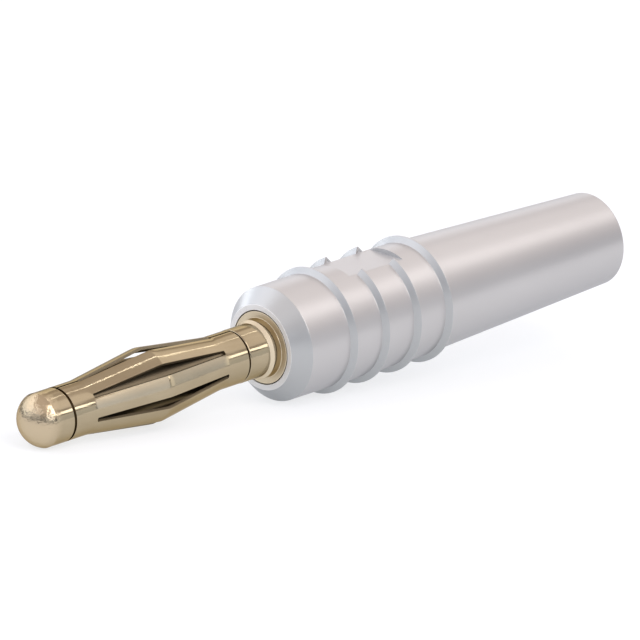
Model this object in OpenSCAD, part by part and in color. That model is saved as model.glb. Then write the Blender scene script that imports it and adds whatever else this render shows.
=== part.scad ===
// Two-millimetre banana plug: moulded sleeve, turned pin and a rolled lantern spring.
// The plug lies on the ground as it comes to rest, on its nose and its first rib. Its axis runs along X,
// a few degrees down towards the nose at -X, the marking flat is on top, and the origin is on the ground
// under its middle. Each piece is turned about Z, from the sleeve's rear end at z = 0 up to the nose,
// with the flat towards -Y, and is then laid down.

/* [Sleeve] */
// Length of the sleeve, rear end to front face
sleeve_length = 17.25; // [15:0.05:22]
// Diameter of the flat front face
face_d = 3.16; // [3.1:0.01:3.4]
// Length of the cone behind the front face
cone_length = 0.57; // [0.4:0.01:0.8]
// Diameter at the edge where the cone ends
front_d = 4.25; // [4.05:0.01:4.4]
// Diameter of the grip at its last ring
grip_d = 4.31; // [4.2:0.01:4.5]
// Diameter where the rear taper starts
taper_d = 4.27; // [4:0.01:4.3]
// Diameter of the rear end
rear_d = 3.53; // [3.3:0.01:3.8]
// Rounding of the rear edge
rear_round = 0.06; // [0.05:0.01:0.25]
// Bore for the wire
cable_bore_d = 2.3; // [2.25:0.01:2.35]
// Bore that grips the shank of the pin
shank_bore_d = 1.9; // [1.86:0.01:1.95]
// Lead-in chamfer at the mouth of the bore
bore_lead = 0.15; // [0.05:0.01:0.25]

/* [Grip rings] */
// Number of ring ribs
ring_count = 4; // [3:1:5]
// Distance from one rib to the next
ring_pitch = 1.62; // [1.45:0.01:1.8]
// Distance from the front face to the first crest
ring_start = 2.64; // [2:0.01:3]
// Height of a rib over the grip
ring_height = 0.22; // [0.12:0.01:0.28]
// Width of a rib at its foot
ring_foot = 0.36; // [0.25:0.01:0.5]
// Width of the crest
ring_crest = 0.05; // [0.03:0.01:0.1]

/* [Marking flat] */
// Length of the flat along the axis
flat_length = 2.7; // [2.2:0.1:2.9]
// Depth of the flat below the grip
flat_depth = 0.17; // [0.1:0.01:0.24]

/* [Pin] */
// Length of the pin, front face of the sleeve to the tip
pin_reach = 11.46; // [10.5:0.01:12.5]
// Diameter of the nose
nose_d = 1.98; // [1.9:0.01:2]
// Straight length of the nose
nose_length = 0.82; // [0.6:0.01:1.1]
// Height of the round cap at the end of the nose
cap_height = 0.7; // [0.6:0.01:0.9]
// Diameter of the rear cylinder
root_d = 2.0; // [1.96:0.01:2.05]
// Diameter of the stepped neck in front of the collar
neck_d = 2.19; // [2.12:0.01:2.3]
// Length of the stepped neck
neck_length = 0.46; // [0.3:0.01:0.6]
// Length of the cone at the front of the neck
neck_cone = 0.13; // [0.08:0.01:0.2]
// Diameter of the collar
collar_d = 2.69; // [2.63:0.01:2.75]
// Thickness of the collar
collar_length = 0.8; // [0.5:0.05:1.2]
// Length of the tail inside the sleeve, front face to its end
tail_length = 8; // [6.5:0.1:9]
// Bore of the solder cup
cup_bore_d = 1.2; // [1:0.01:1.25]
// Depth of the solder cup
cup_depth = 3; // [2:0.1:3.5]

/* [Spring] */
// Length of the spring
spring_length = 8.37; // [8:0.01:8.6]
// Thickness of the sheet
sheet = 0.1; // [0.08:0.01:0.12]
// Diameter over the bowed beams
bulge_d = 2.8; // [2.5:0.01:2.85]
// Number of beams
beam_count = 7; // [6:1:8]
// Width of the slots where they start
slot_width = 0.18; // [0.14:0.01:0.24]
// Extra width of a beam at its crest
beam_swell = 0.06; // [0:0.01:0.08]
// Length of an end band
band_length = 1; // [0.8:0.01:1.3]
// Width of the open seam
seam_width = 0.09; // [0.05:0.01:0.14]

/* [Clearances] */
// End play between the spring and each shoulder of the pin
end_play = 0.08; // [0.04:0.01:0.12]
// Radial clearance between the spring and the core
core_clearance = 0.01; // [0.01:0.005:0.03]
// Radial clearance between the collar and its pocket
collar_clearance = 0.03; // [0.02:0.01:0.05]
// Radial clearance between the shank and its bore
shank_clearance = 0.05; // [0.03:0.01:0.08]
// Radial clearance between the barbs and their bore
barb_clearance = 0.01; // [0.01:0.005:0.02]
// Distance from the tail's end to the step of the bore
tail_clearance = 0.2; // [0.1:0.05:0.4]

/* [Hidden] */
$fn = 96;

// Reach of a cutting solid past the face it cuts
over = 1;
// Small turned edge breaks
edge_break = 0.04;

// Places along the axis
face_z = sleeve_length;
front_z = face_z - cone_length;
first_ring_z = face_z - ring_start;
last_ring_z = first_ring_z - (ring_count - 1) * ring_pitch;
taper_z = last_ring_z - ring_foot / 2;
flat_mid_z = (first_ring_z + last_ring_z) / 2;
collar_z = face_z - collar_length;
groove_length = spring_length + 2 * end_play;
tip_z = face_z + pin_reach;
nose_z = tip_z - cap_height;
groove_top_z = nose_z - nose_length;
groove_z = groove_top_z - groove_length;
spring_z = groove_z + end_play;

// Radius of the nose's cap
cap_r = (pow(nose_d / 2, 2) + pow(cap_height, 2)) / (2 * cap_height);

// Diameters that follow from a mate
pocket_d = collar_d + 2 * collar_clearance;
core_d = nose_d - 2 * sheet - 2 * core_clearance;
shank_d = shank_bore_d - 2 * shank_clearance;
barb_d = shank_bore_d - 2 * barb_clearance;

// Grip radius at the flat, and the flat's distance from the axis
grip_slope = (grip_d - front_d) / (front_z - taper_z);
flat_grip_d = grip_at(flat_mid_z);
flat_y = flat_grip_d / 2 - flat_depth;
flat_width = 2 * sqrt(pow(flat_grip_d / 2, 2) - pow(flat_y, 2));

// Barbs on the shank, with a plain length between them and the collar
barb_count = 3;
barb_pitch = 0.7;
barb_length = 0.56;
barb_margin = 0.55;
barb_top_z = collar_z - barb_margin;

// End of the tail, and the step of the bore behind it
tail_z = face_z - tail_length;
bore_step_z = tail_z - tail_clearance;

// How the plug rests: the ground touches the edge of the nose's cap and the crest of the first rib
half_length = (sleeve_length + pin_reach) / 2;
crest_z = first_ring_z + ring_crest / 2;
crest_r = grip_at(first_ring_z) / 2 + ring_height;
rest_tilt = atan((crest_r - nose_d / 2) / (nose_z - crest_z));
rest_height = nose_d / 2 * cos(rest_tilt) + (nose_z - half_length) * sin(rest_tilt);
front_reach = (half_length - cap_r) * cos(rest_tilt) + cap_r;
rear_edge = [half_length - rear_round, rear_d / 2 - rear_round];
rear_reach = rear_edge[0] * cos(rest_tilt) + rear_edge[1] * sin(rest_tilt) + rear_round;
rest_shift = (front_reach - rear_reach) / 2;

// Beams: equal strips, a little wider at the crest
pitch_angle = 360 / beam_count;
beam_width = PI * nose_d / beam_count - slot_width;

function grip_at(z) = grip_d - grip_slope * (z - taper_z);

// Lays an upright piece on the ground with its nose to -X and its flat up
module lay_down() {
    translate([rest_shift, 0, rest_height])
        rotate([0, -rest_tilt, 0])
            translate([half_length, 0, 0])
                rotate([-90, 0, 0])
                    rotate([0, -90, 0])
                        children();
}

// One ring rib round the grip
module ring_rib(z) {
    foot_r = grip_at(z) / 2;
    top_r = foot_r + ring_height;
    sunk_r = foot_r - ring_height;
    rotate_extrude()
        polygon([
            [sunk_r, z - ring_foot / 2],
            [foot_r, z - ring_foot / 2],
            [top_r, z - ring_crest / 2],
            [top_r, z + ring_crest / 2],
            [foot_r, z + ring_foot / 2],
            [sunk_r, z + ring_foot / 2]
        ]);
}

// Outer form of the sleeve without its ribs
module sleeve_form() {
    rotate_extrude() {
        polygon([
            [0, 0],
            [rear_d / 2 - rear_round, 0],
            [rear_d / 2 - rear_round, rear_round],
            [rear_d / 2, rear_round],
            [taper_d / 2, taper_z],
            [grip_d / 2, taper_z],
            [front_d / 2, front_z],
            [face_d / 2, face_z],
            [0, face_z]
        ]);
        translate([rear_d / 2 - rear_round, rear_round])
            circle(r = rear_round);
    }
}

// Room that the flat takes out of the grip and the middle ribs
module flat_room() {
    translate([-flat_width / 2, -flat_y - over, flat_mid_z - flat_length / 2])
        cube([flat_width, over, flat_length]);
}

// Pocket for the collar and bore for the shank and the wire
module sleeve_bore() {
    translate([0, 0, -over])
        cylinder(d = cable_bore_d, h = bore_step_z + over);
    cylinder(d = shank_bore_d, h = sleeve_length);
    translate([0, 0, collar_z])
        cylinder(d = pocket_d, h = collar_length + over);
    cylinder(d1 = cable_bore_d + 2 * bore_lead, d2 = cable_bore_d, h = bore_lead);
}

module insulating_sleeve() {
    color([0.9, 0.88, 0.87])
        lay_down()
            difference() {
                union() {
                    sleeve_form();
                    for (i = [0 : ring_count - 1])
                        ring_rib(first_ring_z - i * ring_pitch);
                }
                flat_room();
                sleeve_bore();
            }
}

// Turned outline of the pin, from the end of the tail to the nose
module pin_turned() {
    rotate_extrude()
        polygon([
            [0, tail_z],
            [shank_d / 2, tail_z],
            [shank_d / 2, collar_z],
            [collar_d / 2, collar_z],
            [collar_d / 2, face_z - edge_break],
            [collar_d / 2 - edge_break, face_z],
            [neck_d / 2, face_z],
            [neck_d / 2, face_z + neck_length - neck_cone],
            [root_d / 2, face_z + neck_length],
            [root_d / 2, groove_z - edge_break],
            [root_d / 2 - edge_break, groove_z],
            [core_d / 2, groove_z],
            [core_d / 2, groove_top_z],
            [nose_d / 2 - edge_break, groove_top_z],
            [nose_d / 2, groove_top_z + edge_break],
            [nose_d / 2, tip_z + over],
            [0, tip_z + over]
        ]);
}

// Room the pin is kept within: a ball a little larger than the nose gives the nose its round cap
module cap_limit() {
    translate([0, 0, tip_z - cap_r])
        sphere(r = cap_r);
    translate([0, 0, tail_z - over])
        cylinder(d = collar_d + over, h = tip_z - cap_r - tail_z + over);
}

// Saw-toothed barbs that hold the pin in the sleeve
module shank_barbs() {
    for (i = [0 : barb_count - 1])
        translate([0, 0, barb_top_z - (i + 1) * barb_pitch])
            cylinder(d1 = shank_d, d2 = barb_d, h = barb_length);
}

module plug_pin() {
    color([0.76, 0.64, 0.4])
        lay_down()
            difference() {
                union() {
                    intersection() {
                        pin_turned();
                        cap_limit();
                    }
                    shank_barbs();
                }
                translate([0, 0, tail_z - over])
                    cylinder(d = cup_bore_d, h = cup_depth + over);
            }
}

// The rolled sheet before its slots and seam are cut
module spring_shell() {
    band_r = nose_d / 2;
    bulge_r = bulge_d / 2;
    mid = spring_length / 2;
    rise_end = spring_length - band_length;
    translate([0, 0, spring_z])
        rotate_extrude()
            polygon([
                [band_r - sheet, 0],
                [band_r, 0],
                [band_r, band_length],
                [bulge_r, mid],
                [band_r, rise_end],
                [band_r, spring_length],
                [band_r - sheet, spring_length],
                [band_r - sheet, rise_end],
                [bulge_r - sheet, mid],
                [band_r - sheet, band_length]
            ]);
}

// Upright block as wide as one beam, from the axis outward along X
module beam_block(length) {
    end_y = beam_width / 2;
    crest_y = end_y + beam_swell / 2;
    rotate([90, 0, 90])
        linear_extrude(height = bulge_d)
            polygon([
                [-end_y, -over],
                [end_y, -over],
                [end_y, 0],
                [crest_y, length / 2],
                [end_y, length],
                [end_y, length + over],
                [-end_y, length + over],
                [-end_y, length],
                [-crest_y, length / 2],
                [-end_y, 0]
            ]);
}

// Everything between the beams
module slot_room() {
    slot_length = spring_length - 2 * band_length;
    translate([0, 0, spring_z + band_length])
        difference() {
            cylinder(d = bulge_d + over, h = slot_length);
            for (i = [0 : beam_count - 1])
                rotate([0, 0, -90 - (i + 0.5) * pitch_angle])
                    beam_block(slot_length);
        }
}

module contact_spring() {
    color([0.8, 0.69, 0.46])
        lay_down()
            difference() {
                spring_shell();
                slot_room();
                translate([-seam_width / 2, -bulge_d, spring_z - over])
                    cube([seam_width, bulge_d, spring_length + 2 * over]);
            }
}

insulating_sleeve();
plug_pin();
contact_spring();
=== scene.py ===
"""Dresses the banana plug: moulded sleeve, turned gold-plated pin and rolled lantern spring.

Lengths inside the classes are in millimetres. A place on the plug is given by its distance along the axis
from the sleeve's rear end, its distance from the axis and its angle from the top, turning towards -Y.
"""
import logging
import math
from dataclasses import dataclass, field
from enum import Enum

import bmesh
import bpy
from mathutils import Matrix, Vector


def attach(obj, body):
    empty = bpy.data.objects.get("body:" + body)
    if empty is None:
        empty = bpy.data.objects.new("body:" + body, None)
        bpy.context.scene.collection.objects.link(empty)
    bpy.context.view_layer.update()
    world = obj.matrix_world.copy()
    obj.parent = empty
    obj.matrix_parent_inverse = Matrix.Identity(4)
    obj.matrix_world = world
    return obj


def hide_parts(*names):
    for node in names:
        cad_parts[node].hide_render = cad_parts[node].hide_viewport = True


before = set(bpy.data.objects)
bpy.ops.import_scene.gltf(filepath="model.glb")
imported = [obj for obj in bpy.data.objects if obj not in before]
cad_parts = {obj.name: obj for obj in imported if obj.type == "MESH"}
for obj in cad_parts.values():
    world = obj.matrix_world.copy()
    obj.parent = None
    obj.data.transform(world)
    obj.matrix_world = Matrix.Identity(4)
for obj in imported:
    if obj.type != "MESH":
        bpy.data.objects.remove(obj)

LOG = logging.getLogger("banana_plug")
MM = 0.001
BODY = "root"
# Radius below which a point lies on the axis
ON_AXIS = 1e-6
# Sockets of a node that mixes two colours
MIX_FIRST, MIX_SECOND, MIX_RESULT = 6, 7, 2

Pair = tuple[float, float]
Triple = tuple[float, float, float]
Colour = Triple
Socket = bpy.types.NodeSocket
Material = bpy.types.Material
Mesh = bmesh.types.BMesh
Row = list[bmesh.types.BMVert]

# Tints of the lamps
WHITE: Colour = (1.0, 1.0, 1.0)
WARM: Colour = (1.0, 0.955, 0.93)
COOL: Colour = (0.93, 0.97, 1.10)


class Reach(Enum):
    """Which pieces a lamp shines on."""

    ALL = "all"
    METAL = "metal"
    SLEEVE = "sleeve"


class PlateWearAndPaintedLight(Enum):
    """How a plated surface looks: polished or sprung by use, dark with painted shade in the recesses, or
    lighter with painted light on the turned faces.
    """

    POLISHED = "polished"
    SPRUNG = "sprung"
    PAINTED_SHADE = "painted_shade"
    FACED_PAINTED_LIGHT = "faced"


@dataclass(frozen=True)
class PlugAxis:
    """The axis of the plug as it lies at rest, on its nose and its first rib."""

    half_length: float = 14.355
    tilt_deg: float = 5.821840581
    height: float = 2.369995835
    shift: float = -0.083920451

    def matrix(self) -> Matrix:
        """Gives the move from the level plug to the plug at rest.

        Returns:
            The matrix from millimetres about the plug's middle to metres in the row frame.
        """
        move = Matrix.Translation(Vector((self.shift, 0.0, self.height)) * MM)
        turn = Matrix.Rotation(-math.radians(self.tilt_deg), 4, "Y")
        return move @ turn @ Matrix.Scale(MM, 4)

    def level(self, along: float, radius: float, angle: float) -> Vector:
        """Gives a place on the plug while it is still level.

        Args:
            along: Distance from the sleeve's rear end.
            radius: Distance from the axis.
            angle: Angle from the top towards -Y, in radians.

        Returns:
            The point in millimetres, with the middle of the plug's axis at the origin.
        """
        return Vector((self.half_length - along, -radius * math.sin(angle), radius * math.cos(angle)))


@dataclass(frozen=True)
class Corner:
    """One corner of a turned outline: its place and the rounding of its edge."""

    along: float
    radius: float
    rounding: float = 0.0


@dataclass(frozen=True)
class Grain:
    """A noise pattern: cells per metre along X, Y and Z, octaves and the weight of the finer ones."""

    cells: Triple
    octaves: float
    fineness: float = 0.5


class NodeSheet:
    """A material's node tree, with short calls to add and join nodes."""

    def __init__(self, name: str) -> None:
        """Starts an empty material.

        Args:
            name: The material's name.
        """
        self.material = bpy.data.materials.new(name)
        self.material.use_nodes = True
        self.tree = self.material.node_tree
        self.tree.nodes.clear()

    def add(self, kind: str, values: dict | None = None, **settings: object) -> bpy.types.Node:
        """Adds a node.

        Args:
            kind: Blender's type name of the node.
            values: Socket names and the constants to set on them.
            settings: Properties of the node itself.

        Returns:
            The new node.
        """
        node = self.tree.nodes.new(kind)
        for key, value in settings.items():
            setattr(node, key, value)
        for key, value in (values or {}).items():
            node.inputs[key].default_value = value
        return node

    def join(self, start: Socket, end: Socket) -> None:
        """Joins an output socket to an input socket."""
        self.tree.links.new(start, end)

    def stretched_coords(self, scale: Triple) -> Socket:
        """Adds the piece's own coordinates, scaled per axis.

        Args:
            scale: The factors along X, Y and Z.

        Returns:
            The coordinates' socket.
        """
        coords = self.add("ShaderNodeTexCoord")
        mapping = self.add("ShaderNodeMapping", {"Scale": scale})
        self.join(coords.outputs["Object"], mapping.inputs["Vector"])
        return mapping.outputs["Vector"]

    def noise(self, grain: Grain) -> Socket:
        """Adds a noise pattern.

        Args:
            grain: The pattern's cells and octaves.

        Returns:
            The pattern's factor.
        """
        node = self.add("ShaderNodeTexNoise", {
            "Scale": 1.0, "Detail": grain.octaves, "Roughness": grain.fineness})
        self.join(self.stretched_coords(grain.cells), node.inputs["Vector"])
        return node.outputs["Fac"]

    def combine(self, operation: str, first: Socket, second: Socket) -> Socket:
        """Works out a new factor from two others.

        Args:
            operation: Blender's name of the operation.
            first: The first factor.
            second: The second factor.

        Returns:
            The new factor's socket.
        """
        node = self.add("ShaderNodeMath", operation=operation)
        self.join(first, node.inputs[0])
        self.join(second, node.inputs[1])
        return node.outputs[0]

    def ramp(self, factor: Socket, stops: list[tuple[float, Colour]]) -> Socket:
        """Maps a factor to colours.

        Args:
            factor: The socket to map.
            stops: Two places from 0 to 1 and the linear colour at each.

        Returns:
            The colour socket.
        """
        node = self.add("ShaderNodeValToRGB")
        for element, (place, colour) in zip(node.color_ramp.elements, stops):
            element.position = place
            element.color = (*colour, 1.0)
        self.join(factor, node.inputs["Fac"])
        return node.outputs["Color"]

    def span(self, factor: Socket, low: float, high: float) -> Socket:
        """Spreads a factor over another range.

        Args:
            factor: The factor, from 0 to 1.
            low: What 0 becomes.
            high: What 1 becomes.

        Returns:
            The spread factor.
        """
        node = self.add("ShaderNodeMapRange", {"To Min": low, "To Max": high})
        self.join(factor, node.inputs["Value"])
        return node.outputs["Result"]

    def bump(self, height: Socket, strength: float, distance: float,
             under: Socket | None = None) -> Socket:
        """Adds a bump.

        Args:
            height: The pattern that stands for the height.
            strength: How much of the bump shows.
            distance: Height of the pattern in metres.
            under: The normal that this bump lies on.

        Returns:
            The normal socket.
        """
        node = self.add("ShaderNodeBump", {"Strength": strength, "Distance": distance})
        self.join(height, node.inputs["Height"])
        if under is not None:
            self.join(under, node.inputs["Normal"])
        return node.outputs["Normal"]

    def surface(self, shader: Socket) -> Material:
        """Sets the material's surface.

        Args:
            shader: The surface's shader.

        Returns:
            The material.
        """
        output = self.add("ShaderNodeOutputMaterial")
        self.join(shader, output.inputs["Surface"])
        return self.material


@dataclass(frozen=True)
class GoldPlate:
    """Thin pale gold over brass, polished lengthwise and paler where the nose is rubbed."""

    name: str
    wear_and_painted_light: PlateWearAndPaintedLight
    pale: Colour = (0.44, 0.368, 0.25)
    deep: Colour = (0.38, 0.312, 0.206)
    rubbed: Colour = (0.55, 0.45, 0.31)
    # Painted light: the lighter colour of the collar's face and the neck's cone, which stands in for their
    # bright reflections.
    painted_light_tone: Colour = (0.68, 0.595, 0.45)
    edge: Colour = (0.62, 0.54, 0.42)
    # Painted shade: the dark colour of the core under the spring and of the spring's inside and slot edges,
    # where shade falls.
    painted_shade_tone: Colour = (0.17, 0.14, 0.095)
    nose_rough: float = 0.12
    nose_place: float = -13.4
    nose_blend: float = 0.5
    cloud: Grain = Grain((240.0, 900.0, 900.0), 4.0, 0.6)
    cloud_span: Pair = (0.3, 0.7)
    plain_span: Pair = (0.34, 0.66)
    painted_shade_tone_lift: float = 1.35
    painted_light_tone_lift: float = 1.06
    smear: Grain = Grain((500.0, 3000.0, 3000.0), 5.0, 0.65)
    drawn: Grain = Grain((160.0, 9000.0, 9000.0), 3.0, 0.6)
    drawn_show: float = 0.4
    faced_show: float = 0.1
    drawn_depth: float = 0.000006
    pits: Grain = Grain((8000.0, 8000.0, 8000.0), 2.0)
    pits_show: float = 0.55
    pits_depth: float = 0.00004
    turned_sheen: float = 0.3

    def roughness(self) -> Pair:
        """Returns the lowest and highest roughness for each kind of plate."""
        return {PlateWearAndPaintedLight.POLISHED: (0.06, 0.13), PlateWearAndPaintedLight.SPRUNG: (0.07, 0.14), PlateWearAndPaintedLight.PAINTED_SHADE: (0.34, 0.48),
                PlateWearAndPaintedLight.FACED_PAINTED_LIGHT: (0.50, 0.56)}[self.wear_and_painted_light]

    def on_nose(self, sheet: NodeSheet) -> Socket:
        """Adds a factor that rises to 1 over the round nose, where the plate is rubbed.

        Args:
            sheet: The node tree to add it to.

        Returns:
            The factor's socket.
        """
        coords = sheet.add("ShaderNodeTexCoord")
        split = sheet.add("ShaderNodeSeparateXYZ")
        reach = sheet.add("ShaderNodeMapRange", {
            "From Min": self.nose_place * MM, "From Max": (self.nose_place - self.nose_blend) * MM})
        sheet.join(coords.outputs["Object"], split.inputs["Vector"])
        sheet.join(split.outputs["X"], reach.inputs["Value"])
        return reach.outputs["Result"]

    def dents(self, sheet: NodeSheet, under: Socket) -> Socket:
        """Adds the shallow dents that use leaves on the nose.

        Args:
            sheet: The node tree to add them to.
            under: The normal below them.

        Returns:
            The normal's socket.
        """
        height = sheet.combine("MULTIPLY", sheet.noise(self.pits), self.on_nose(sheet))
        return sheet.bump(height, self.pits_show, self.pits_depth, under)

    def lifted(self, shade: Colour, lift: float) -> list[tuple[float, Colour]]:
        """Returns the stops of a ramp from a shade to a lighter one."""
        low, high = self.cloud_span
        return [(low, shade), (high, tuple(lift * c for c in shade))]

    def tint(self, sheet: NodeSheet) -> Socket:
        """Adds the plate's colour.

        Args:
            sheet: The node tree to add it to.

        Returns:
            The colour socket.
        """
        cloud = sheet.noise(self.cloud)
        # The core and the spring's inside get a dark painted shade colour.
        if self.wear_and_painted_light is PlateWearAndPaintedLight.PAINTED_SHADE:
            return sheet.ramp(cloud, self.lifted(self.painted_shade_tone, self.painted_shade_tone_lift))
        # The collar's face and the neck's cone get a lighter painted light colour.
        if self.wear_and_painted_light is PlateWearAndPaintedLight.FACED_PAINTED_LIGHT:
            return sheet.ramp(cloud, self.lifted(self.painted_light_tone, self.painted_light_tone_lift))
        plain = sheet.ramp(cloud, list(zip(self.plain_span, (self.deep, self.pale))))
        if self.wear_and_painted_light is PlateWearAndPaintedLight.SPRUNG:
            return plain
        mix = sheet.add("ShaderNodeMix", data_type="RGBA")
        sheet.join(self.on_nose(sheet), mix.inputs["Factor"])
        sheet.join(plain, mix.inputs[MIX_FIRST])
        mix.inputs[MIX_SECOND].default_value = (*self.rubbed, 1.0)
        return mix.outputs[MIX_RESULT]

    def build(self) -> Material:
        """Builds the finish.

        Returns:
            The finished material.
        """
        sheet = NodeSheet(self.name)
        show = self.faced_show if self.wear_and_painted_light is PlateWearAndPaintedLight.FACED_PAINTED_LIGHT else self.drawn_show
        normal = sheet.bump(sheet.noise(self.drawn), show, self.drawn_depth)
        if self.wear_and_painted_light is PlateWearAndPaintedLight.POLISHED:
            normal = self.dents(sheet, normal)
        shader = sheet.add("ShaderNodeBsdfPrincipled", {
            "Metallic": 1.0, "Specular Tint": (*self.edge, 1.0)})
        if self.wear_and_painted_light is PlateWearAndPaintedLight.FACED_PAINTED_LIGHT:
            turned = sheet.add("ShaderNodeTangent", direction_type="RADIAL", axis="X")
            shader.inputs["Anisotropic"].default_value = self.turned_sheen
            sheet.join(turned.outputs["Tangent"], shader.inputs["Tangent"])
        sheet.join(self.tint(sheet), shader.inputs["Base Color"])
        rough = sheet.span(sheet.noise(self.smear), *self.roughness())
        if self.wear_and_painted_light is PlateWearAndPaintedLight.POLISHED:
            rubbed = sheet.span(self.on_nose(sheet), 0.0, self.nose_rough)
            rough = sheet.combine("ADD", rough, rubbed)
        sheet.join(rough, shader.inputs["Roughness"])
        sheet.join(normal, shader.inputs["Normal"])
        return sheet.surface(shader.outputs["BSDF"])


@dataclass(frozen=True)
class MouldedPlastic:
    """Satin white plastic with the faint flow clouding, pearly sheen and fine skin of a moulding."""

    name: str
    pale: Colour = (0.62, 0.613, 0.617)
    deep: Colour = (0.59, 0.583, 0.589)
    low_rough: float = 0.31
    high_rough: float = 0.38
    pearl: float = 0.60
    gloss: float = 0.2
    gloss_tint: Colour = (0.7, 0.7, 0.72)
    flow: Grain = Grain((110.0, 260.0, 260.0), 3.0)
    flow_span: Pair = (0.30, 0.70)
    patch: Grain = Grain((700.0, 900.0, 900.0), 4.0, 0.6)
    skin: Grain = Grain((9000.0, 9000.0, 9000.0), 2.0)
    skin_show: float = 0.10
    skin_depth: float = 0.000006

    def build(self) -> Material:
        """Builds the finish.

        Returns:
            The finished material.
        """
        sheet = NodeSheet(self.name)
        tint = sheet.ramp(sheet.noise(self.flow), list(zip(self.flow_span, (self.deep, self.pale))))
        rough = sheet.span(sheet.noise(self.patch), self.low_rough, self.high_rough)
        normal = sheet.bump(sheet.noise(self.skin), self.skin_show, self.skin_depth)
        shader = sheet.add("ShaderNodeBsdfPrincipled", {
            "Metallic": self.pearl, "Specular IOR Level": self.gloss,
            "Specular Tint": (*self.gloss_tint, 1.0)})
        sheet.join(tint, shader.inputs["Base Color"])
        sheet.join(rough, shader.inputs["Roughness"])
        sheet.join(normal, shader.inputs["Normal"])
        return sheet.surface(shader.outputs["BSDF"])


@dataclass(frozen=True)
class Outline:
    """A turned outline whose corners are rounded before it is revolved.

    The last corner joins the first if it is closed, and otherwise both ends lie on the axis.
    """

    corners: list[Corner]
    closed: bool
    steps: int = 9
    side_share: float = 0.42
    straight_deg: float = 89.0
    guard_share: float = 0.15
    guard_limit: float = 0.1

    def points(self) -> list[Pair]:
        """Gives the outline with its edges rounded.

        Returns:
            Points as (along, radius), with a guard point on each side of a rounded edge.
        """
        found: list[Pair] = []
        total = len(self.corners)
        for i, corner in enumerate(self.corners):
            at_end = not self.closed and i in (0, total - 1)
            if corner.rounding <= 0.0 or at_end:
                found.append((corner.along, corner.radius))
                continue
            found.extend(self.rounded(self.corners[i - 1], corner, self.corners[(i + 1) % total]))
        return found

    def rounded(self, before: Corner, corner: Corner, after: Corner) -> list[Pair]:
        """Rounds one corner.

        Args:
            before: The corner before it.
            corner: The corner itself.
            after: The corner after it.

        Returns:
            The points that take the corner's place.
        """
        here = Vector((corner.along, corner.radius))
        back = Vector((before.along, before.radius)) - here
        ahead = Vector((after.along, after.radius)) - here
        room = self.side_share * min(back.length, ahead.length)
        back.normalize()
        ahead.normalize()
        half = 0.5 * math.acos(max(-1.0, min(1.0, back.dot(ahead))))
        if half > math.radians(self.straight_deg):
            return [(corner.along, corner.radius)]
        reach = min(corner.rounding / math.tan(half), room)
        radius = reach * math.tan(half)
        centre = here + (back + ahead).normalized() * (radius / math.sin(half))
        first, last = here + back * reach, here + ahead * reach
        guard = min(self.guard_share * reach, self.guard_limit * room)
        points = [here + back * (reach + guard)]
        start = (first - centre).normalized()
        end = (last - centre).normalized()
        sweep = math.acos(max(-1.0, min(1.0, start.dot(end))))
        for k in range(self.steps + 1):
            t = k / self.steps
            mix = (start * math.sin((1.0 - t) * sweep) + end * math.sin(t * sweep)) / math.sin(sweep)
            points.append(centre + mix * radius)
        points.append(here + ahead * (reach + guard))
        return [(p.x, p.y) for p in points]


@dataclass
class PlugPiece:
    """What every piece of the plug shares: its axis and how its mesh reaches the scene."""

    axis: PlugAxis = field(default_factory=PlugAxis)

    def revolve(self, outline: Outline, angles: list[float]) -> Mesh:
        """Turns an outline about the axis.

        Args:
            outline: The outline to turn.
            angles: The angles of the mesh's columns, in radians, in order round the axis.

        Returns:
            The mesh, still level and in millimetres.
        """
        mesh = bmesh.new()
        rings: list[Row] = []
        for along, radius in outline.points():
            if radius <= ON_AXIS:
                rings.append([mesh.verts.new(self.axis.level(along, 0.0, 0.0))])
            else:
                rings.append([mesh.verts.new(self.axis.level(along, radius, a)) for a in angles])
        count = len(angles)
        pairs = list(zip(rings, rings[1:]))
        if outline.closed:
            pairs.append((rings[-1], rings[0]))
        for low, high in pairs:
            for j in range(count):
                k = (j + 1) % count
                ring = [low[j % len(low)], low[k % len(low)], high[k % len(high)], high[j % len(high)]]
                mesh.faces.new(list(dict.fromkeys(ring)))
        bmesh.ops.recalc_face_normals(mesh, faces=mesh.faces)
        return mesh

    def place(self, mesh: Mesh, name: str, node: str, slot: str,
              finishes: tuple[Material, ...], sharp_deg: float) -> bpy.types.Object:
        """Lays a mesh down at rest and puts it in the scene in the place of a CAD node.

        Args:
            mesh: The level mesh in millimetres, which is freed.
            name: Name of the piece.
            node: CAD node that it stands for.
            slot: The record's material slot; not used.
            finishes: The materials, in the order of the faces' numbers.
            sharp_deg: Edges that bend more than this stay sharp.

        Returns:
            The new object.
        """
        bmesh.ops.transform(mesh, matrix=self.axis.matrix(), verts=mesh.verts)
        data = bpy.data.meshes.new(name)
        mesh.to_mesh(data)
        mesh.free()
        for polygon in data.polygons:
            polygon.use_smooth = True
        data.set_sharp_from_angle(angle=math.radians(sharp_deg))
        for finish in finishes:
            data.materials.append(finish)
        piece = bpy.data.objects.new(name, data)
        bpy.context.scene.collection.objects.link(piece)
        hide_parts(node)
        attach(piece, BODY)
        LOG.info("%s: %d faces", name, len(data.polygons))
        return piece


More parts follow.
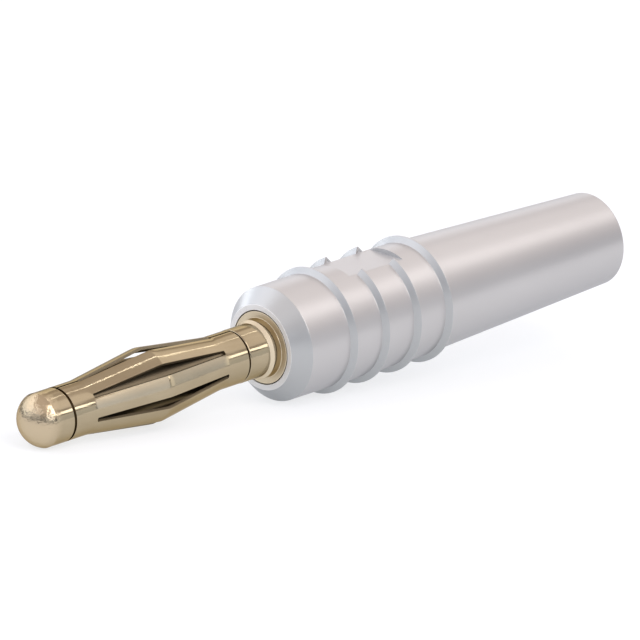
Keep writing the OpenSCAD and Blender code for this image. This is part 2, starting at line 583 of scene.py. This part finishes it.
@dataclass
class Sleeve(PlugPiece):
    """The white moulded sleeve with its ring ribs, marking flat and bores."""

    length: float = 17.25
    face_r: float = 1.58
    cone_length: float = 0.57
    front_r: float = 2.125
    grip_r: float = 2.155
    taper_r: float = 2.135
    rear_r: float = 1.765
    rear_round: float = 0.06
    mouth_round: float = 0.03
    lead_round: float = 0.04
    cone_round: float = 0.03
    face_round: float = 0.025
    pocket_round: float = 0.02
    foot_round: float = 0.02
    crest_round: float = 0.015
    cable_r: float = 1.15
    shank_r: float = 0.95
    bore_lead: float = 0.15
    bore_step: float = 9.05
    pocket_r: float = 1.375
    pocket_floor: float = 16.45
    rings: int = 4
    ring_pitch: float = 1.62
    ring_start: float = 2.64
    ring_height: float = 0.22
    ring_foot: float = 0.36
    ring_crest: float = 0.05
    flat_length: float = 2.7
    flat_depth: float = 0.17
    wall_gap: float = 0.004
    side_gap: float = 0.0015
    side_room: float = 0.6
    face_depth: float = 0.012
    flank_facing: float = -0.4
    sharp_deg: float = 34.0
    columns: int = 240

    def ring_places(self) -> list[float]:
        """Returns the places of the ribs' crests, from the rear one to the front one."""
        first = self.length - self.ring_start
        return [first - i * self.ring_pitch for i in reversed(range(self.rings))]

    def grip_at(self, along: float) -> float:
        """Gives the radius of the grip.

        Args:
            along: Distance from the sleeve's rear end.

        Returns:
            The radius there.
        """
        foot = self.ring_places()[0] - self.ring_foot / 2
        slope = (self.grip_r - self.front_r) / (self.length - self.cone_length - foot)
        return self.grip_r - slope * (along - foot)

    def flat_span(self) -> Pair:
        """Gives the reach of the marking flat.

        Returns:
            Its two ends along the axis.
        """
        places = self.ring_places()
        middle = (places[0] + places[-1]) / 2
        return middle - self.flat_length / 2, middle + self.flat_length / 2

    def flat_height(self) -> float:
        """Returns the flat's distance from the axis."""
        return self.grip_at(sum(self.flat_span()) / 2) - self.flat_depth

    def outline(self) -> Outline:
        """Draws the sleeve's outline.

        Returns:
            The closed outline, from the mouth of the bore over the outside and back inside.
        """
        places = self.ring_places()
        half = self.ring_foot / 2
        walls = [end + side * self.wall_gap for end in self.flat_span() for side in (-1, 1)]
        corners = [
            Corner(0.0, self.cable_r + self.bore_lead, self.mouth_round),
            Corner(0.0, self.rear_r, self.rear_round),
            Corner(places[0] - half, self.taper_r, self.foot_round),
        ]
        for i, place in enumerate(places):
            top = self.grip_at(place) + self.ring_height
            if i:
                corners.append(Corner(place - half, self.grip_at(place - half), self.foot_round))
            corners.append(Corner(place - self.ring_crest / 2, top, self.crest_round))
            corners.append(Corner(place + self.ring_crest / 2, top, self.crest_round))
            corners.append(Corner(place + half, self.grip_at(place + half), self.foot_round))
            limit = places[i + 1] if i + 1 < self.rings else self.length
            corners.extend(Corner(w, self.grip_at(w)) for w in walls if place < w < limit)
        corners.extend([
            Corner(self.length - self.cone_length, self.front_r, self.cone_round),
            Corner(self.length, self.face_r, self.face_round),
            Corner(self.length, self.pocket_r, self.pocket_round),
            Corner(self.pocket_floor, self.pocket_r),
            Corner(self.pocket_floor, self.shank_r),
            Corner(self.bore_step, self.shank_r),
            Corner(self.bore_step, self.cable_r),
            Corner(self.bore_lead, self.cable_r, self.lead_round),
        ])
        return Outline(corners, closed=True)

    def angles(self) -> list[float]:
        """Spreads the mesh's columns round the axis.

        Returns:
            The angles in radians, with a close pair at each side of the marking flat.
        """
        edge = self.flat_edge()
        step = 2 * math.pi / self.columns
        even = [-math.pi + i * step for i in range(self.columns)]
        kept = [a for a in even if abs(abs(a) - edge) > self.side_room * step]
        pair = [side * (edge + gap) for side in (-1, 1) for gap in (-self.side_gap, self.side_gap)]
        return sorted(kept + pair)

    def flat_edge(self) -> float:
        """Returns the angle from the top to the edge of the flat, in radians."""
        return math.acos(self.flat_height() / self.grip_at(sum(self.flat_span()) / 2))

    def press_flat(self, mesh: Mesh) -> None:
        """Brings the grip and the middle ribs down to the marking flat.

        Args:
            mesh: The level mesh of the sleeve.
        """
        low, high = self.flat_span()
        edge, height = self.flat_edge(), self.flat_height()
        for vert in mesh.verts:
            along = self.axis.half_length - vert.co.x
            angle = abs(math.atan2(vert.co.y, vert.co.z))
            if low < along < high and angle < edge and vert.co.z > height:
                vert.co.z = height

    def finish_of(self, face: bmesh.types.BMFace) -> int:
        """Gives the number of the finish on a face.

        Args:
            face: A face of the sleeve, with the plug level.

        Returns:
            1 on the flat front face, which carries painted light, 2 on the cone and the fronts of the ribs,
            which carry painted shade, 0 elsewhere.
        """
        point = face.calc_center_median()
        along, radius = self.axis.half_length - point.x, math.hypot(point.y, point.z)
        # The front face gets a lighter copy of the moulding as painted light, the cone and the ribs' fronts
        # a darker, cooler copy as painted shade.
        if along > self.length - self.face_depth and radius > self.pocket_r:
            return 1
        return 2 if face.normal.x < self.flank_facing else 0

    def build(self, finishes: tuple[Material, ...]) -> bpy.types.Object:
        """Builds the sleeve.

        Args:
            finishes: Its materials: the sleeve, its front face with painted light and the flanks that face
                the nose with painted shade.

        Returns:
            The sleeve's object.
        """
        mesh = self.revolve(self.outline(), self.angles())
        self.press_flat(mesh)
        mesh.normal_update()
        for face in mesh.faces:
            face.material_index = self.finish_of(face)
        return self.place(mesh, "sleeve", "insulating_sleeve", "sleeve", finishes, self.sharp_deg)


@dataclass
class PlugPin(PlugPiece):
    """The turned pin: nose, core, rear cylinder, neck, collar, barbed shank and solder cup."""

    face: float = 17.25
    reach: float = 11.46
    nose_r: float = 0.99
    nose_length: float = 0.82
    cap_height: float = 0.7
    groove_length: float = 8.53
    core_r: float = 0.88
    root_r: float = 1.0
    neck_r: float = 1.095
    neck_length: float = 0.46
    neck_cone: float = 0.13
    collar_r: float = 1.345
    collar_length: float = 0.8
    shank_r: float = 0.9
    barb_r: float = 0.94
    barb_count: int = 3
    barb_pitch: float = 0.7
    barb_length: float = 0.56
    barb_margin: float = 0.55
    tail: float = 9.25
    cup_bore_r: float = 0.6
    cup_depth: float = 3.0
    edge_break: float = 0.04
    cup_round: float = 0.05
    tail_round: float = 0.06
    collar_round: float = 0.03
    neck_round: float = 0.015
    core_margin: float = 0.02
    face_margin: float = 0.01
    sharp_deg: float = 13.0
    cap_steps: int = 40
    columns: int = 256

    def tail_corners(self) -> list[Corner]:
        """Draws the part of the outline inside the sleeve.

        Returns:
            The corners from the floor of the solder cup to the collar.
        """
        collar = self.face - self.collar_length
        top = collar - self.barb_margin
        floor = self.tail + self.cup_depth
        corners = [
            Corner(floor, 0.0),
            Corner(floor, self.cup_bore_r),
            Corner(self.tail, self.cup_bore_r, self.cup_round),
            Corner(self.tail, self.shank_r, self.tail_round),
        ]
        for i in reversed(range(self.barb_count)):
            foot = top - (i + 1) * self.barb_pitch
            corners.append(Corner(foot, self.shank_r))
            corners.append(Corner(foot + self.barb_length, self.barb_r))
            corners.append(Corner(foot + self.barb_length, self.shank_r))
        corners.append(Corner(collar, self.shank_r))
        corners.append(Corner(collar, self.collar_r))
        return corners

    def front_corners(self) -> list[Corner]:
        """Draws the part of the outline in front of the sleeve's face.

        Returns:
            The corners from the collar's front edge to the end of the nose.
        """
        cap = self.face + self.reach - self.cap_height
        groove_top = cap - self.nose_length
        groove = groove_top - self.groove_length
        cap_r = (self.nose_r ** 2 + self.cap_height ** 2) / (2 * self.cap_height)
        cap_middle = cap + self.cap_height - cap_r
        corners = [
            Corner(self.face, self.collar_r, self.collar_round),
            Corner(self.face, self.neck_r, self.collar_round),
            Corner(self.face + self.neck_length - self.neck_cone, self.neck_r, self.neck_round),
            Corner(self.face + self.neck_length, self.root_r, self.neck_round),
            Corner(groove, self.root_r, self.edge_break),
            Corner(groove, self.core_r),
            Corner(groove_top, self.core_r),
            Corner(groove_top, self.nose_r, self.edge_break),
        ]
        edge = math.asin(self.nose_r / cap_r)
        for i in range(self.cap_steps + 1):
            turn = edge * (1 - i / self.cap_steps)
            corners.append(Corner(cap_middle + cap_r * math.cos(turn), cap_r * math.sin(turn)))
        return corners

    def finish_at(self, point: Vector) -> int:
        """Gives the number of the finish at a point.

        Args:
            point: The point, with the plug level.

        Returns:
            1 on the core under the spring, which carries painted shade, 2 on the collar's face and the
            neck's cone, which carry painted light, 0 elsewhere.
        """
        along, radius = self.axis.half_length - point.x, math.hypot(point.y, point.z)
        nose = self.face + self.reach - self.cap_height
        if self.face < along < nose and radius < self.core_r + self.core_margin:
            return 1
        neck_end = self.face + self.neck_length
        on_cone = neck_end - self.neck_cone < along < neck_end and radius > self.root_r
        on_face = abs(along - self.face) < self.face_margin and radius > self.neck_r
        return 2 if on_cone or on_face else 0

    def build(self, finishes: tuple[Material, ...]) -> bpy.types.Object:
        """Builds the pin.

        Args:
            finishes: Its materials: the pin, the core with painted shade and the collar's face with painted
                light.

        Returns:
            The pin's object.
        """
        outline = Outline(self.tail_corners() + self.front_corners(), closed=False)
        angles = [2 * math.pi * i / self.columns for i in range(self.columns)]
        mesh = self.revolve(outline, angles)
        for face in mesh.faces:
            face.material_index = self.finish_at(face.calc_center_median())
        return self.place(mesh, "pin", "plug_pin", "pin", finishes, self.sharp_deg)


@dataclass
class LanternSpring(PlugPiece):
    """The rolled contact spring: two bands, bowed beams that are widest at their crest and an open seam."""

    start: float = 18.74
    length: float = 8.37
    band_r: float = 0.99
    bulge_r: float = 1.4
    sheet: float = 0.1
    beams: int = 7
    slot_width: float = 0.18
    slot_round: float = 0.04
    beam_swell: float = 0.06
    band_length: float = 1.0
    seam_width: float = 0.09
    bend: float = 0.10
    crest_bend: float = 0.24
    edge_break: float = 0.014
    edge_steps: int = 2
    sharp_deg: float = 50.0
    end_margin: float = 0.001
    across: int = 12
    slot_columns: int = 4
    beam_rows: int = 44
    crest_rows: int = 5
    band_rows: tuple[float, ...] = (0.0, 0.02, 0.2, 0.4, 0.6, 0.8, 0.94, 1.0)
    slot_rows: tuple[float, ...] = (0.06, 0.2, 0.4, 0.7, 1.0)
    foot_room: float = 0.1
    crest_room: float = 0.03

    def radius_at(self, place: float) -> float:
        """Gives the outer radius of the sheet, with the bends rounded.

        Args:
            place: Distance from the spring's rear end.

        Returns:
            The radius.
        """
        reach = min(place, self.length - place)
        run = self.length / 2 - self.band_length
        slope = (self.bulge_r - self.band_r) / run
        past_foot = reach - self.band_length
        climb = 0.5 * (past_foot + math.hypot(past_foot, self.bend))
        short = run - climb
        crest = 0.25 * max(0.0, self.crest_bend - abs(short)) ** 2 / self.crest_bend
        return self.band_r + slope * (climb - crest)

    def rows(self) -> tuple[list[float], list[float], list[float]]:
        """Spreads the mesh's rows along the spring.

        Returns:
            The places of the rows in the rear band, on the beams and in the front band.
        """
        first, last = self.band_length, self.length - self.band_length
        middle = (first + last) / 2
        band = [self.band_length * share for share in self.band_rows]
        near = [self.slot_round * share for share in self.slot_rows]
        steps = self.crest_rows
        close = [middle + self.crest_bend * (k / steps) for k in range(-steps, steps + 1)]
        even = [first + (last - first) * i / self.beam_rows for i in range(1, self.beam_rows)]
        low, high = first + self.foot_room, last - self.foot_room
        clear = self.crest_bend + self.crest_room
        inner = [place for place in even if low < place < high and abs(place - middle) > clear]
        beams = sorted([first + n for n in near] + [last - n for n in near] + inner + close)
        return band, beams, [self.length - b for b in reversed(band)]

    def beam_half(self, place: float) -> float:
        """Gives half the width of a beam, which swells to its crest and spreads at the slots' corners.

        Args:
            place: Distance from the spring's rear end.

        Returns:
            Half the width.
        """
        reach = min(place - self.band_length, self.length - self.band_length - place)
        swell = self.beam_swell * max(0.0, reach) / (self.length - 2 * self.band_length)
        plain = math.pi * self.band_r / self.beams - self.slot_width / 2 + swell
        if reach >= self.slot_round:
            return plain
        gone = self.slot_round - max(0.0, reach)
        return plain + self.slot_round - math.sqrt(max(0.0, self.slot_round ** 2 - gone ** 2))

    def beam_angles(self, index: int, place: float, radius: float) -> list[float]:
        """Gives the angles of one beam's columns, which divide its width evenly.

        Args:
            index: Number of the beam, from the seam.
            place: Distance from the spring's rear end.
            radius: Radius of the skin at that place.

        Returns:
            The angles in radians, in order.
        """
        centre = (index + 0.5) * 2 * math.pi / self.beams
        half = self.beam_half(place)
        shares = [2 * k / self.across - 1 for k in range(self.across + 1)]
        return [centre + math.asin(half * share / radius) for share in shares]

    def band_angles(self, place: float, radius: float) -> list[float]:
        """Gives the angles of a band's columns, from one side of the seam round to the other.

        Args:
            place: Where the band meets the beams, as a distance from the spring's rear end.
            radius: Radius of the skin.

        Returns:
            The angles in radians, in order.
        """
        seam = math.asin(self.seam_width / 2 / radius)
        found: list[float] = []
        last = seam
        for i in range(self.beams + 1):
            beam = self.beam_angles(i, place, radius) if i < self.beams else [2 * math.pi - seam]
            gap, start = beam[0] - last, min(i, 1)
            found.extend(last + gap * k / self.slot_columns for k in range(start, self.slot_columns))
            found.extend(beam)
            last = beam[-1]
        return found

    def row(self, mesh: Mesh, place: float, radius: float, angles: list[float]) -> Row:
        """Adds one row of points and returns it."""
        return [mesh.verts.new(self.axis.level(self.start + place, radius, a)) for a in angles]

    def fill(self, mesh: Mesh, low: Row, high: Row) -> None:
        """Adds the faces between two rows."""
        for a, b, c, d in zip(low, low[1:], high[1:], high):
            mesh.faces.new((a, b, c, d))

    def beam_columns(self, index: int) -> slice:
        """Returns which of a band row's points belong to a beam."""
        first = self.slot_columns + index * (self.across + self.slot_columns)
        return slice(first, first + self.across + 1)

    def skin(self, mesh: Mesh, depth: float) -> Row:
        """Adds one side of the sheet.

        Args:
            mesh: The mesh to add to.
            depth: Distance of this side below the outer one.

        Returns:
            The points of the side, in an order that is the same for both sides.
        """
        rear, beams, front = self.rows()
        bands: list[list[Row]] = []
        for places, meet in ((rear, self.band_length), (front, self.length - self.band_length)):
            angles = self.band_angles(meet, self.radius_at(meet) - depth)
            bands.append([self.row(mesh, p, self.radius_at(p) - depth, angles) for p in places])
            for low, high in zip(bands[-1], bands[-1][1:]):
                self.fill(mesh, low, high)
        points = [vert for band in bands for row in band for vert in row]
        for i in range(self.beams):
            columns = self.beam_columns(i)
            before = bands[0][-1][columns]
            for place in beams:
                radius = self.radius_at(place) - depth
                after = self.row(mesh, place, radius, self.beam_angles(i, place, radius))
                self.fill(mesh, before, after)
                points.extend(after)
                before = after
            self.fill(mesh, before, bands[1][0][columns])
        return points

    def build(self, finishes: tuple[Material, ...]) -> bpy.types.Object:
        """Builds the spring.

        Args:
            finishes: Its materials: outside, and inside with the edges of the slots, which carries painted
                shade.

        Returns:
            The spring's object.
        """
        mesh = bmesh.new()
        outer = self.skin(mesh, 0.0)
        rim = [edge.verts[:] for edge in mesh.edges if edge.is_boundary]
        outside = set(mesh.faces)
        inner = dict(zip(outer, self.skin(mesh, self.sheet)))
        for face in mesh.faces:
            # The inside of the sheet and the slots' edges get the painted shade colour.
            face.material_index = int(face not in outside)
        for a, b in rim:
            place = self.axis.half_length - 0.5 * (a.co.x + b.co.x) - self.start
            wall = mesh.faces.new((a, b, inner[b], inner[a]))
            wall.material_index = int(self.end_margin < place < self.length - self.end_margin)
        bmesh.ops.recalc_face_normals(mesh, faces=mesh.faces)
        piece = self.place(mesh, "spring", "contact_spring", "spring", finishes, self.sharp_deg)
        self.break_edges(piece)
        return piece

    def break_edges(self, piece: bpy.types.Object) -> None:
        """Rounds the cut edges of the sheet.

        Args:
            piece: The spring's object.
        """
        edge = piece.modifiers.new("edges", "BEVEL")
        edge.width = self.edge_break * MM
        edge.segments = self.edge_steps
        edge.limit_method = "ANGLE"
        edge.angle_limit = math.radians(self.sharp_deg)
        edge.harden_normals = True


@dataclass(frozen=True)
class Softbox:
    """A rectangular studio lamp that faces the plug."""

    name: str
    azimuth_deg: float
    elevation_deg: float
    distance: float
    width: float
    height: float
    level: float
    colour: Colour = WHITE
    reach: Reach = Reach.ALL

    def build(self, target: Vector, lit: dict[Reach, bpy.types.Collection]) -> bpy.types.Object:
        """Builds the lamp.

        Args:
            target: The point that it faces, in metres.
            lit: The pieces that a lamp of limited reach shines on.

        Returns:
            The lamp's object.
        """
        azimuth, elevation = math.radians(self.azimuth_deg), math.radians(self.elevation_deg)
        out = Vector((math.sin(azimuth) * math.cos(elevation), -math.cos(azimuth) * math.cos(elevation),
                      math.sin(elevation)))
        data = bpy.data.lights.new(self.name, "AREA")
        data.shape = "RECTANGLE"
        data.size, data.size_y = self.width * MM, self.height * MM
        data.energy = self.level * math.pi * data.size * data.size_y
        data.color = self.colour
        lamp = bpy.data.objects.new(self.name, data)
        lamp.location = target + out * (self.distance * MM)
        lamp.rotation_euler = out.to_track_quat("Z", "Y").to_euler()
        lamp.visible_camera = False
        lamp.light_linking.receiver_collection = lit.get(self.reach)
        bpy.context.scene.collection.objects.link(lamp)
        return lamp


@dataclass
class Studio:
    """The pale floor, the soft surrounding light and the lamps."""

    floor_half: float = 900.0
    paper: Colour = (0.30, 0.316, 0.345)
    glow: float = 0.70
    low_sky: Colour = (0.20, 0.22, 0.26)
    high_sky: Colour = (0.82, 0.73, 0.69)
    sky_span: Pair = (0.16, 0.66)
    lamp_target: float = 2.4
    lamps: tuple[Softbox, ...] = (
        Softbox("right_strip", 39.5, 24.0, 400.0, 66.0, 44.0, 3.0, reach=Reach.METAL),
        Softbox("right_panel", 39.5, 8.0, 400.0, 80.0, 120.0, 0.66),
        Softbox("near_panel", 25.0, 15.5, 400.0, 90.0, 245.0, 1.0, COOL, Reach.METAL),
        Softbox("crest_panel", 49.0, 15.0, 400.0, 54.0, 200.0, 1.15, reach=Reach.METAL),
        Softbox("far_panel", 58.0, 13.0, 400.0, 70.0, 190.0, 0.7, COOL, Reach.METAL),
        Softbox("sleeve_panel", 63.0, 46.0, 400.0, 150.0, 110.0, 0.84, WARM, Reach.SLEEVE),
        Softbox("top_panel", 82.0, 48.0, 400.0, 480.0, 120.0, 0.42),
        Softbox("back_panel", 140.0, 18.0, 400.0, 170.0, 200.0, 1.0),
        Softbox("far_box", 176.0, 9.0, 200.0, 100.0, 52.0, 2.2, reach=Reach.SLEEVE),
        Softbox("back_strip", 104.0, 51.0, 400.0, 6.0, 110.0, 3.8, reach=Reach.METAL),
        Softbox("upper_strip", 104.0, 67.0, 400.0, 7.0, 110.0, 7.5, reach=Reach.METAL),
        Softbox("lower_strip", 104.0, 35.0, 400.0, 7.0, 110.0, 7.5, reach=Reach.METAL),
        Softbox("key_box", -2.0, 45.0, 200.0, 140.0, 130.0, 3.2, WARM),
        Softbox("window_box", -27.0, 22.0, 400.0, 200.0, 150.0, 1.6, (0.93, 0.97, 1.05)),
        Softbox("left_box", -150.0, 29.0, 200.0, 320.0, 160.0, 1.1, (0.93, 0.98, 1.07)),
        Softbox("side_panel", -86.0, 28.0, 200.0, 120.0, 130.0, 0.46, (0.90, 0.97, 1.10)),
    )

    def seen(self, sheet: NodeSheet) -> Socket:
        """Adds a factor that tells how the floor is seen.

        Args:
            sheet: The node tree to add it to.

        Returns:
            The factor, 1 for rays from the camera, mirrors and clear surfaces.
        """
        path = sheet.add("ShaderNodeLightPath").outputs
        direct = sheet.combine("MAXIMUM", path["Is Camera Ray"], path["Is Glossy Ray"])
        return sheet.combine("MAXIMUM", direct, path["Is Transmission Ray"])

    def floor(self) -> bpy.types.Object:
        """Builds the floor: pale paper that looks white and keeps the plug's shadow.

        Returns:
            The floor's object.
        """
        sheet = NodeSheet("floor_paper")
        paper = sheet.add("ShaderNodeBsdfDiffuse", {"Color": (*self.paper, 1.0)})
        light = sheet.add("ShaderNodeEmission", {"Color": (*WHITE, 1.0)})
        sheet.join(sheet.span(self.seen(sheet), 0.0, self.glow), light.inputs["Strength"])
        both = sheet.add("ShaderNodeAddShader")
        sheet.join(paper.outputs["BSDF"], both.inputs[0])
        sheet.join(light.outputs["Emission"], both.inputs[1])
        half = self.floor_half * MM
        corners = [(-half, -half, 0.0), (half, -half, 0.0), (half, half, 0.0), (-half, half, 0.0)]
        data = bpy.data.meshes.new("floor")
        data.from_pydata(corners, [], [(0, 1, 2, 3)])
        data.materials.append(sheet.surface(both.outputs["Shader"]))
        floor = bpy.data.objects.new("floor", data)
        bpy.context.scene.collection.objects.link(floor)
        return floor

    def sky(self) -> None:
        """Sets the surrounding light: warm and bright from above, cool and dim near the ground."""
        world = bpy.data.worlds.new("studio")
        bpy.context.scene.world = world
        world.use_nodes = True
        tree = world.node_tree
        tree.nodes.clear()
        coords = tree.nodes.new("ShaderNodeTexCoord")
        split = tree.nodes.new("ShaderNodeSeparateXYZ")
        ramp = tree.nodes.new("ShaderNodeValToRGB")
        low, high = ramp.color_ramp.elements
        low.position, high.position = self.sky_span
        low.color, high.color = (*self.low_sky, 1.0), (*self.high_sky, 1.0)
        back = tree.nodes.new("ShaderNodeBackground")
        output = tree.nodes.new("ShaderNodeOutputWorld")
        tree.links.new(coords.outputs["Generated"], split.inputs["Vector"])
        tree.links.new(split.outputs["Z"], ramp.inputs["Fac"])
        tree.links.new(ramp.outputs["Color"], back.inputs["Color"])
        tree.links.new(back.outputs["Background"], output.inputs["Surface"])

    def build(self, metal: list[bpy.types.Object], sleeve: bpy.types.Object) -> None:
        """Builds the floor, the surrounding light and the lamps.

        Args:
            metal: The plated pieces, which the lamps for metal shine on, as they do on the floor.
            sleeve: The moulded piece, which the lamps for it shine on.
        """
        floor = self.floor()
        self.sky()
        lit = {Reach.METAL: bpy.data.collections.new("lit_metal"),
               Reach.SLEEVE: bpy.data.collections.new("lit_sleeve")}
        for piece in [floor, *metal]:
            lit[Reach.METAL].objects.link(piece)
        lit[Reach.SLEEVE].objects.link(sleeve)
        for lamp in self.lamps:
            lamp.build(Vector((0.0, 0.0, self.lamp_target * MM)), lit)
        bpy.context.scene.view_settings.view_transform = "Standard"


@dataclass(frozen=True)
class PhotoCamera:
    """The camera that took the photograph, worked out from the circles of the plug."""

    lens: float = 393.75
    sensor: float = 36.0
    clip: Pair = (0.001, 20.0)
    place: Triple = (-167.67599516, -170.02083568, 82.68676514)
    forward: Triple = (0.66405899, 0.67283707, -0.32606124)
    up: Triple = (0.23424412, 0.22692177, 0.94532333)

    def build(self, axis: PlugAxis) -> bpy.types.Object:
        """Builds the camera.

        Args:
            axis: The axis of the plug; the camera's place is given with the plug level about its middle.

        Returns:
            The camera's object.
        """
        data = bpy.data.cameras.new("photo_camera")
        data.lens = self.lens
        data.sensor_width = self.sensor
        data.clip_start, data.clip_end = self.clip
        camera = bpy.data.objects.new("photo_camera", data)
        turn = Matrix.Rotation(-math.radians(axis.tilt_deg), 3, "Y")
        back, up = -(turn @ Vector(self.forward)), turn @ Vector(self.up)
        right = up.cross(back)
        basis = Matrix((right, up, back)).transposed().to_4x4()
        camera.matrix_world = Matrix.Translation(axis.matrix() @ Vector(self.place)) @ basis
        bpy.context.scene.collection.objects.link(camera)
        bpy.context.scene.camera = camera
        return camera


def main() -> None:
    """Builds the camera, the plug's pieces and the studio."""
    logging.basicConfig(level=logging.INFO, format="%(name)s %(message)s")
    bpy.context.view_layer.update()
    axis = PlugAxis()
    PhotoCamera().build(axis)
    sleeve = Sleeve(axis).build((
        MouldedPlastic("satin_white_moulding").build(),
        # A lighter copy of the moulding is painted light on the front face; a darker, cooler copy is
        # painted shade on the flanks.
        MouldedPlastic("painted_light_moulded_face", pale=(0.95, 0.95, 0.95), deep=(0.92, 0.92, 0.92),
                       low_rough=0.58, high_rough=0.66).build(),
        MouldedPlastic("painted_shade_moulded_flank", pale=(0.55, 0.565, 0.575), deep=(0.525, 0.54, 0.55)).build()))
    # The core under the spring and the spring's inside get a dark painted shade colour.
    painted_shade = GoldPlate("painted_shade_gold_plate", PlateWearAndPaintedLight.PAINTED_SHADE).build()
    # The collar's face and the neck's cone get a lighter copy of the plate as painted light.
    pin = PlugPin(axis).build((GoldPlate("polished_gold_plate", PlateWearAndPaintedLight.POLISHED).build(), painted_shade,
                               GoldPlate("faced_painted_light_gold_plate", PlateWearAndPaintedLight.FACED_PAINTED_LIGHT).build()))
    spring = LanternSpring(axis).build((GoldPlate("sprung_gold_plate", PlateWearAndPaintedLight.SPRUNG).build(), painted_shade))
    Studio().build([pin, spring], sleeve)


if __name__ == "__main__":
    main()
